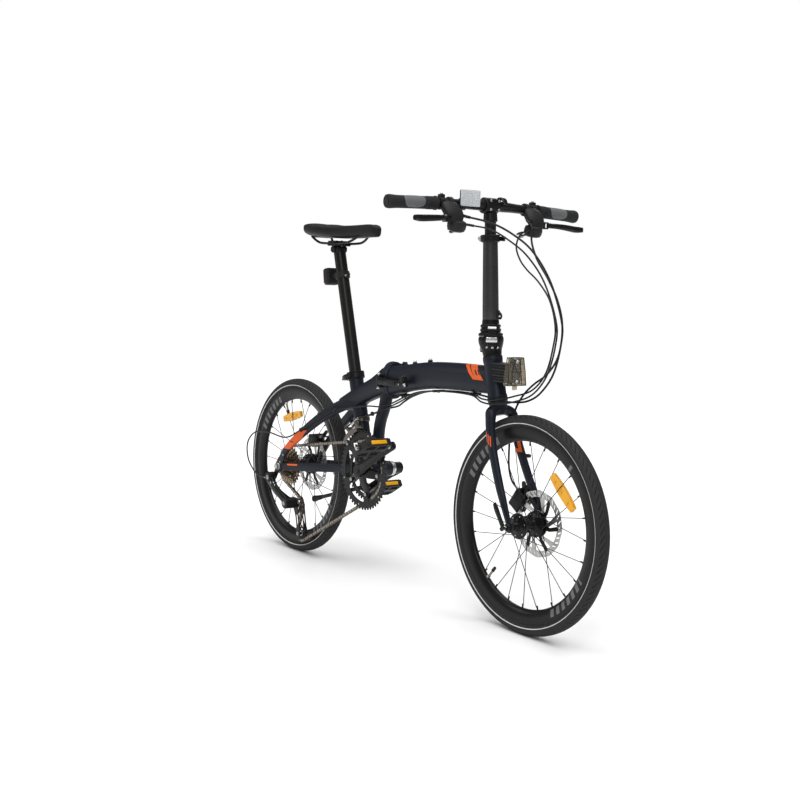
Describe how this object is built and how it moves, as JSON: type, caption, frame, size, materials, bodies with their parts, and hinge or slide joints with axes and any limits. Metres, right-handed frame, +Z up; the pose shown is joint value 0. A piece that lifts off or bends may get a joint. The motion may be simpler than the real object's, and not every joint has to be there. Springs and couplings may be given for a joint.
{
  "type": "folding bicycle",
  "caption": "Folding bicycle with small wheels, hinged frame, folding handlepost, disc brakes, chain drive and telescoping seatpost.",
  "frame": {"origin": "on the ground, half way between the two axles", "axes": "+X forward, +Y to the rider's left, +Z up"},
  "size_m": [1.517, 0.59, 1.0175],
  "materials": {
    "frame_paint": "matte dark navy paint",
    "black_alloy": "black anodised, satin",
    "grey_anodised": "dark grey anodised, satin",
    "bright_steel": "brushed",
    "chain_metal": "oiled bronze-grey",
    "tyre_rubber": "matte rubber with a light line",
    "grip_rubber": "soft rubber with grey inserts",
    "black_plastic": "matte moulded plastic",
    "smoked_plastic": "clear smoked plastic",
    "saddle_cover": "black synthetic cover"
  },
  "bodies": {
    "rear_half": {"rear_frame": "frame_paint", "bottom_bracket": "bright_steel", "main_hinge_pin": "bright_steel", "seat_clamp": "black_alloy", "rear_caliper": "black_alloy", "rear_derailleur": "black_alloy", "front_derailleur": "black_alloy", "chain": "chain_metal", "rear_axle": "bright_steel", "rear_shift_cable": "black_plastic"},
    "front_half": {"front_frame": "frame_paint", "luggage_block": "smoked_plastic", "rear_brake_loop": "black_plastic", "rear_shift_loop": "black_plastic", "rear_brake_cable": "black_plastic", "front_shift_cable": "black_plastic"},
    "steering_body": {"fork": "frame_paint", "front_caliper": "black_alloy", "front_axle": "bright_steel", "handlepost_base": "black_alloy", "front_brake_cable": "black_plastic"},
    "post_body": {"handlepost": "grey_anodised", "handlepost_collar": "black_alloy"},
    "cockpit": {"stem_post": "grey_anodised", "handlebar": "black_alloy", "grip_right": "grip_rubber", "grip_left": "grip_rubber", "control_right": "black_plastic", "control_left": "black_plastic"},
    "right_lever": {"brake_lever_right": "black_alloy"},
    "left_lever": {"brake_lever_left": "black_alloy"},
    "front_wheel": {"front_tyre": "tyre_rubber", "front_rim": "black_alloy", "front_hub": "black_alloy", "front_spokes": "black_alloy", "front_rotor": "bright_steel"},
    "rear_wheel": {"rear_tyre": "tyre_rubber", "rear_rim": "black_alloy", "rear_hub": "black_alloy", "rear_spokes": "black_alloy", "rear_rotor": "bright_steel"},
    "sprockets": {"cassette": "chain_metal"},
    "cranks": {"crank_right": "black_alloy", "crank_left": "black_alloy", "chainring_large": "black_alloy", "chainring_small": "black_alloy"},
    "right_pedal": {"pedal_right": "black_plastic"},
    "left_pedal": {"pedal_left": "black_plastic"},
    "cage": {"derailleur_cage": "black_alloy"},
    "guide_wheel": {"upper_pulley": "black_plastic"},
    "tension_wheel": {"lower_pulley": "black_plastic"},
    "seat": {"seatpost": "grey_anodised", "saddle": "saddle_cover", "saddle_rails": "bright_steel", "tail_light": "black_plastic"},
    "stand": {"kickstand": "black_alloy"},
    "clamp_lever": {"seat_clamp_lever": "black_alloy"},
    "main_latch": {"frame_latch_lever": "black_alloy"},
    "post_latch": {"handlepost_latch": "bright_steel"},
    "front_qr": {"front_qr_lever": "black_alloy"}
  },
  "joints": [
    {"name": "frame_fold", "type": "hinge", "parent": "rear_half", "child": "front_half", "pos_m": [-0.045, 0.04, 0.55], "axis": [0, 0, 1], "range_deg": [0, 160], "deforming": ["rear_brake_cable", "front_shift_cable", "rear_shift_cable"]},
    {"name": "steering", "type": "hinge", "parent": "front_half", "child": "steering_body", "pos_m": [0.369, 0, 0.589], "axis": [-0.2419, 0, 0.9703], "range_deg": [-45, 45], "deforming": ["front_brake_cable", "rear_brake_loop", "rear_shift_loop"]},
    {"name": "handlepost_fold", "type": "hinge", "parent": "steering_body", "child": "post_body", "pos_m": [0.32014, 0.02616, 0.6892], "axis": [0.7071, 0.7071, 0], "range_deg": [-160, 0]},
    {"name": "handlepost_height", "type": "slide", "parent": "post_body", "child": "cockpit", "axis": [-0.0678, 0, 0.9977], "range_m": [-0.03, 0.06]},
    {"name": "brake_lever_right_pull", "type": "hinge", "parent": "cockpit", "child": "right_lever", "pos_m": [0.36, -0.162, 0.96], "axis": [0, 0, -1], "range_deg": [0, 20], "stiffness_Nm_per_rad": 0.6},
    {"name": "brake_lever_left_pull", "type": "hinge", "parent": "cockpit", "child": "left_lever", "pos_m": [0.36, 0.162, 0.96], "axis": [0, 0, 1], "range_deg": [0, 20], "stiffness_Nm_per_rad": 0.6},
    {"name": "front_wheel_spin", "type": "hinge", "parent": "steering_body", "child": "front_wheel", "pos_m": [0.501, 0, 0.2575], "axis": [0, 1, 0], "continuous": true},
    {"name": "rear_wheel_spin", "type": "hinge", "parent": "rear_half", "child": "rear_wheel", "pos_m": [-0.501, 0, 0.2575], "axis": [0, 1, 0], "continuous": true},
    {"name": "crank_spin", "type": "hinge", "parent": "rear_half", "child": "cranks", "pos_m": [-0.095, 0, 0.303], "axis": [0, 1, 0], "continuous": true},
    {"name": "cassette_spin", "type": "hinge", "parent": "rear_half", "child": "sprockets", "pos_m": [-0.501, 0, 0.2575], "axis": [0, 1, 0], "continuous": true},
    {"name": "pedal_right_spin", "type": "hinge", "parent": "cranks", "child": "right_pedal", "pos_m": [0.05222, -0.13, 0.388], "axis": [0, 1, 0], "continuous": true},
    {"name": "pedal_left_spin", "type": "hinge", "parent": "cranks", "child": "left_pedal", "pos_m": [-0.24222, 0.13, 0.218], "axis": [0, 1, 0], "continuous": true},
    {"name": "cage_pivot", "type": "hinge", "parent": "rear_half", "child": "cage", "pos_m": [-0.446, -0.0455, 0.156], "axis": [0, 1, 0], "range_deg": [-20, 35], "stiffness_Nm_per_rad": 0.3, "deforming": ["chain"]},
    {"name": "upper_pulley_spin", "type": "hinge", "parent": "cage", "child": "guide_wheel", "pos_m": [-0.443, -0.0325, 0.147], "axis": [0, 1, 0], "continuous": true},
    {"name": "lower_pulley_spin", "type": "hinge", "parent": "cage", "child": "tension_wheel", "pos_m": [-0.424, -0.0325, 0.067], "axis": [0, 1, 0], "continuous": true},
    {"name": "seatpost_slide", "type": "slide", "parent": "rear_half", "child": "seat", "axis": [0.2785, 0, -0.9604], "range_m": [-0.02, 0.24]},
    {"name": "kickstand_fold", "type": "hinge", "parent": "rear_half", "child": "stand", "pos_m": [-0.215, 0.0412, 0.23], "axis": [0.1131, -0.9175, -0.3812], "range_deg": [0, 107]},
    {"name": "seat_clamp_open", "type": "hinge", "parent": "rear_half", "child": "clamp_lever", "pos_m": [-0.24774, -0.016, 0.53895], "axis": [0.2785, 0, -0.9604], "range_deg": [0, 110]},
    {"name": "frame_latch_open", "type": "hinge", "parent": "rear_half", "child": "main_latch", "pos_m": [-0.053, -0.0395, 0.548], "axis": [0, 0, -1], "range_deg": [0, 110]},
    {"name": "handlepost_latch_open", "type": "hinge", "parent": "post_body", "child": "post_latch", "pos_m": [0.37446, -0.02112, 0.7102], "axis": [-0.6, -0.8, 0], "range_deg": [0, 100]},
    {"name": "front_qr_open", "type": "hinge", "parent": "steering_body", "child": "front_qr", "pos_m": [0.501, -0.0718, 0.2575], "axis": [0.8299, 0, 0.5579], "range_deg": [0, 150]}
  ],
  "couplings": [
    {"joint": "cassette_spin", "follows": "crank_spin", "ratio": 1.3929},
    {"joint": "upper_pulley_spin", "follows": "crank_spin", "ratio": -3.5455},
    {"joint": "lower_pulley_spin", "follows": "crank_spin", "ratio": 3.5455}
  ]
}
